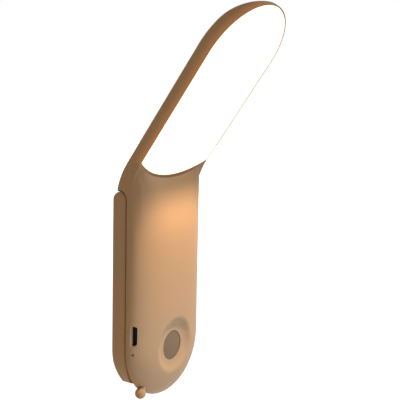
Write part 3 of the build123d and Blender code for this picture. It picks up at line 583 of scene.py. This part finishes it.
def running_mean(profile):
    """Mean of the neighbours in PROFILE_WINDOW points, with the ends carried on."""
    padded = np.pad(profile, PROFILE_WINDOW // 2, "reflect", reflect_type="odd")
    return np.convolve(padded, np.full(PROFILE_WINDOW, 1 / PROFILE_WINDOW), "valid")


def cut_by_plane(bm, geometry, point, normal):
    """Cuts faces, edges and points by a plane."""
    bmesh.ops.bisect_plane(bm, geom=geometry, dist=CUT_DISTANCE, plane_co=point, plane_no=normal)


def cut_shoulder(bm, grid, depth):
    """Marks the shoulder's front faces with material 1 and cuts them by planes of equal z and x."""
    sizes = bpy.context.scene.wardrobe_light_sizes
    up, right = (0, 0, 1), (1, 0, 0)
    cut_by_plane(bm, [*bm.faces, *bm.edges, *bm.verts], (0, 0, sizes.shoulder_foot), up)
    for face in bm.faces:
        face.material_index = int(grid.shows(depth, face.calc_center_median()))
    top = ARC_CENTRE[2] + sizes.foot_centre
    heights = np.arange(sizes.shoulder_foot, top, sizes.shoulder_step)
    half = round(sizes.shoulder_width / sizes.shoulder_step)
    cuts = [((0, 0, z), up) for z in heights]
    cuts += [((k * sizes.shoulder_step, 0, 0), right) for k in range(-half, half + 1)]
    for point, normal in cuts:
        faces = [face for face in bm.faces if face.material_index]
        edges = {edge for face in faces for edge in face.edges}
        verts = {vert for edge in edges for vert in edge.verts}
        cut_by_plane(bm, [*faces, *edges, *verts], point, normal)
    bmesh.ops.triangulate(bm, faces=[face for face in bm.faces if len(face.verts) > 3])


def blended_normals(mesh, grid, depth, first, corner, marks):
    """Corner normals: n + share (m - n), made length 1. n is the first normal, and m is the
    depth's own: its slope across, -1, and its slope upwards."""
    x, _, z = read_values(mesh.vertices, "co", 3)[corner].T
    upwards, across = np.gradient(depth, grid.step)
    slope = np.stack((grid.look_up(across, x, z), -np.ones(len(x)), grid.look_up(upwards, x, z)), 1)
    slope /= np.linalg.norm(slope, axis=1, keepdims=True)
    share = (shoulder_share(x, z, *NORMAL_FADES) * marks)[:, None]
    mixed = first * (1 - share) + slope * share
    return mixed / np.maximum(np.linalg.norm(mixed, axis=1, keepdims=True), LEAST_LENGTH)


def soft_shoulder(node):
    """The housing with its shoulder blended: depth y(x, z) of the front becomes y + w (s - h).

    h is how far the front lies behind its own lower cross-section, s is h after many passes of
    neighbour means up to the panel's edge, and w falls to 0 at the shoulder's borders. Normals
    follow the new depth's slopes.
    """
    mesh = node.data.copy()
    kept = mesh.attributes.new("first_normal", "FLOAT_VECTOR", "CORNER")
    kept.data.foreach_set("vector", read_values(mesh.corner_normals, "vector", 3).ravel())
    mesh.attributes.remove(mesh.attributes["custom_normal"])
    bm = bmesh.new()
    bm.from_mesh(mesh)
    bmesh.ops.remove_doubles(bm, verts=bm.verts, dist=MERGE_DISTANCE)
    grid = FrontGrid(bpy.context.scene.wardrobe_light_sizes)
    depth = grid.depths(BVHTree.FromBMesh(bm))
    hollow = depth - depth[PROFILE_ROW]
    move = shoulder_move(grid, hollow)
    cut_shoulder(bm, grid, depth)
    bm.to_mesh(mesh)
    bm.free()

    corner = read_values(mesh.loops, "vertex_index", kind=int)
    marks = np.repeat(read_values(mesh.polygons, "material_index", kind=int),
                      read_values(mesh.polygons, "loop_total", kind=int))
    skin = np.unique(corner[marks > 0])
    places = read_values(mesh.vertices, "co", 3)
    places[skin, 1] += grid.look_up(move, places[skin, 0], places[skin, 2])
    mesh.vertices.foreach_set("co", places.ravel())
    first = read_values(mesh.attributes["first_normal"].data, "vector", 3)
    mesh.attributes.remove(mesh.attributes["first_normal"])
    mesh.polygons.foreach_set("material_index", np.zeros(len(mesh.polygons), int))
    mesh.polygons.foreach_set("use_smooth", np.ones(len(mesh.polygons), bool))
    mesh.update()
    smooth_depth = running_mean(depth[PROFILE_ROW]) + hollow + move
    normals = blended_normals(mesh, grid, smooth_depth, first, corner, marks)
    mesh.normals_split_custom_set(normals.tolist())
    return placed("blended_housing", mesh)


class WARDROBE_OT_shoulder(bpy.types.Operator):
    """Blend the shoulder between the panel and the front into one soft surface."""

    bl_idname = "wardrobe.shoulder"
    bl_label = "Blended shoulder"

    def execute(self, context):
        piece = soft_shoulder(frame["nodes"]["housing_shell"])
        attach(piece, "housing")
        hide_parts("housing_shell")
        return {"FINISHED"}


def seen_directly(tree):
    """1 where the camera, a gloss or glass sees a surface, and 0 where it only lights the lamp."""
    path = tree.nodes.new("ShaderNodeLightPath")
    seen = math_node(tree, "MAXIMUM", path.outputs["Is Camera Ray"], path.outputs["Is Glossy Ray"])
    return math_node(tree, "MAXIMUM", seen, path.outputs["Is Transmission Ray"])


def studio_world():
    """World that is white to look at, and lights the lamp dim and warm, less from above."""
    world = bpy.data.worlds.new("studio")
    world.use_nodes = True
    tree = world.node_tree
    tree.nodes.clear()
    light = tree.nodes.new("ShaderNodeBackground")
    light.inputs["Color"].default_value = (*WORLD_COLOUR, 1)
    sky = tree.nodes.new("ShaderNodeTexCoord")
    height = tree.nodes.new("ShaderNodeSeparateXYZ")
    tree.links.new(sky.outputs["Generated"], height.inputs[0])
    rise = ramp_between(tree, height.outputs["Z"], 0.0, 1.0)
    strength = math_node(tree, "MULTIPLY_ADD", rise, -ZENITH_LOSS, HORIZON_STRENGTH)
    tree.links.new(strength, light.inputs["Strength"])
    white = tree.nodes.new("ShaderNodeBackground")
    white.inputs["Color"].default_value = (1, 1, 1, 1)
    white.inputs["Strength"].default_value = 1.0
    mix = tree.nodes.new("ShaderNodeMixShader")
    out = tree.nodes.new("ShaderNodeOutputWorld")
    tree.links.new(seen_directly(tree), mix.inputs[0])
    tree.links.new(light.outputs[0], mix.inputs[1])
    tree.links.new(white.outputs[0], mix.inputs[2])
    tree.links.new(mix.outputs[0], out.inputs["Surface"])
    return world


def floor_finish():
    """Pale grey floor that is white to look at, a little more so away from the lamp."""
    material, tree, shader = new_material("pale_floor")
    shader.inputs["Base Color"].default_value = (FLOOR_GREY, FLOOR_GREY, FLOOR_GREY, 1)
    shader.inputs["Roughness"].default_value = 0.9
    shader.inputs["Specular IOR Level"].default_value = 0.0
    shader.inputs["Emission Color"].default_value = (1, 1, 1, 1)
    place = tree.nodes.new("ShaderNodeTexCoord")
    away = tree.nodes.new("ShaderNodeVectorMath")
    away.operation = "LENGTH"
    tree.links.new(place.outputs["Object"], away.inputs[0])
    rise = ramp_between(tree, away.outputs["Value"], FLOOR_RISE_FROM, FLOOR_RISE_TO)
    level = math_node(tree, "MULTIPLY_ADD", rise, FLOOR_RISE, FLOOR_WHITE)
    seen = math_node(tree, "MULTIPLY", seen_directly(tree), level)
    tree.links.new(seen, shader.inputs["Emission Strength"])
    return material


def pale_floor(height):
    """Square floor at this height."""
    corners = [(-1, -1), (1, -1), (1, 1), (-1, 1)]
    points = [(FLOOR_REACH * x, FLOOR_REACH * y, height) for x, y in corners]
    mesh = bpy.data.meshes.new("floor")
    mesh.from_pydata(points, [], [(0, 1, 2, 3)])
    mesh.materials.append(floor_finish())
    return placed("floor", mesh)


def soft_lamp(name, size):
    """A square soft lamp."""
    data = bpy.data.lights.new(name, "AREA")
    data.size = size
    return data


def beam_lamp(name, radius, angle, blend):
    """A round lamp with a beam of this angle in degrees and a soft edge."""
    data = bpy.data.lights.new(name, "SPOT")
    data.shadow_soft_size = radius
    data.spot_size = math.radians(angle)
    data.spot_blend = blend
    return data


def hang_lamp(data, location, target, power, colour):
    """Hangs a lamp where it faces its target."""
    data.energy = power
    data.color = colour
    lamp = placed(data.name, data)
    lamp.location = location
    lamp.rotation_mode = "QUATERNION"
    lamp.rotation_quaternion = (Vector(target) - Vector(location)).to_track_quat("-Z", "Y")


def hang_lamps():
    """A warm beam from the panel down the front, a soft lamp behind, and a cool beam on the
    lower front."""
    hang_lamp(beam_lamp("panel glow", radius=0.006, angle=140.0, blend=0.085),
              location=(0.016, -0.068, 0.115), target=(0.016, -0.1217, 0.0307),
              power=0.86, colour=(1.0, 0.69, 0.42))
    hang_lamp(soft_lamp("back", size=0.6),
              location=(0.45, 0.80, 0.35), target=(0, 0, 0.04),
              power=6.0, colour=(1.0, 0.96, 0.90))
    hang_lamp(beam_lamp("fill", radius=0.05, angle=11.5, blend=0.9),
              location=(0.15, -0.80, 0.03), target=(0, -0.02, -0.035),
              power=14.0, colour=(0.44, 0.74, 1.0))


def aim_camera(location, yaw, pitch, roll):
    """Camera matrix: its view turned by yaw from +Y towards +X, down by pitch, then rolled."""
    level = math.cos(pitch)
    ahead = Vector((math.sin(yaw) * level, math.cos(yaw) * level, -math.sin(pitch)))
    right = Vector((math.cos(yaw), -math.sin(yaw), 0))
    up = right.cross(ahead)
    turned = right * math.cos(roll) + up * math.sin(roll)
    raised = up * math.cos(roll) - right * math.sin(roll)
    matrix = Matrix((turned, raised, -ahead)).transposed().to_4x4()
    matrix.translation = Vector(location)
    return matrix


def photo_camera(lens):
    """Camera at the photograph's viewing angle."""
    data = bpy.data.cameras.new("camera")
    data.lens = lens
    data.sensor_width = 36.0
    data.clip_start = 0.01
    camera = placed("camera", data)
    camera.matrix_world = aim_camera(location=(-0.24036, -0.18418, 0.07225),
                                     yaw=0.9910523, pitch=0.1112795, roll=0.0207078)
    return camera


class WARDROBE_OT_stage(bpy.types.Operator):
    """Set up the world, floor, lamps and camera."""

    bl_idname = "wardrobe.stage"
    bl_label = "Stage"

    def execute(self, context):
        scene = context.scene
        settings = scene.wardrobe_light_stage
        scene.view_settings.view_transform = "Standard"
        scene.world = studio_world()
        floor = pale_floor(settings.floor_height)
        hang_lamps()
        scene.camera = photo_camera(settings.lens_length)
        return {"FINISHED"}


class WARDROBE_PT_panel(bpy.types.Panel):
    """Sizes, colours and steps of the wardrobe light."""

    bl_idname = "WARDROBE_PT_panel"
    bl_label = "Wardrobe light"
    bl_space_type = "VIEW_3D"
    bl_region_type = "UI"
    bl_category = "Wardrobe light"

    def draw(self, context):
        for group in SETTINGS:
            settings = getattr(context.scene, group)
            for name in settings.__annotations__:
                self.layout.prop(settings, name)
        for step in OPERATORS:
            self.layout.operator(step.bl_idname)


SETTINGS = {
    "wardrobe_light_sizes": WardrobeLightSizes,
    "wardrobe_light_colours": WardrobeLightColours,
    "wardrobe_light_stage": WardrobeLightStage,
}
OPERATORS = (WARDROBE_OT_finishes, WARDROBE_OT_shoulder, WARDROBE_OT_stage)
CLASSES = (*SETTINGS.values(), *OPERATORS, WARDROBE_PT_panel)


def register():
    """Registers the classes and hangs the settings on the scene."""
    for cls in CLASSES:
        bpy.utils.register_class(cls)
    for name, group in SETTINGS.items():
        setattr(bpy.types.Scene, name, bpy.props.PointerProperty(type=group))


def unregister():
    """Takes the settings and the classes away again."""
    for name in SETTINGS:
        delattr(bpy.types.Scene, name)
    for cls in reversed(CLASSES):
        bpy.utils.unregister_class(cls)


def main():
    """Runs every step in order."""
    register()
    bpy.ops.wardrobe.finishes()
    bpy.ops.wardrobe.shoulder()
    bpy.ops.wardrobe.stage()
    bpy.context.view_layer.update()


if __name__ == "__main__":
    main()
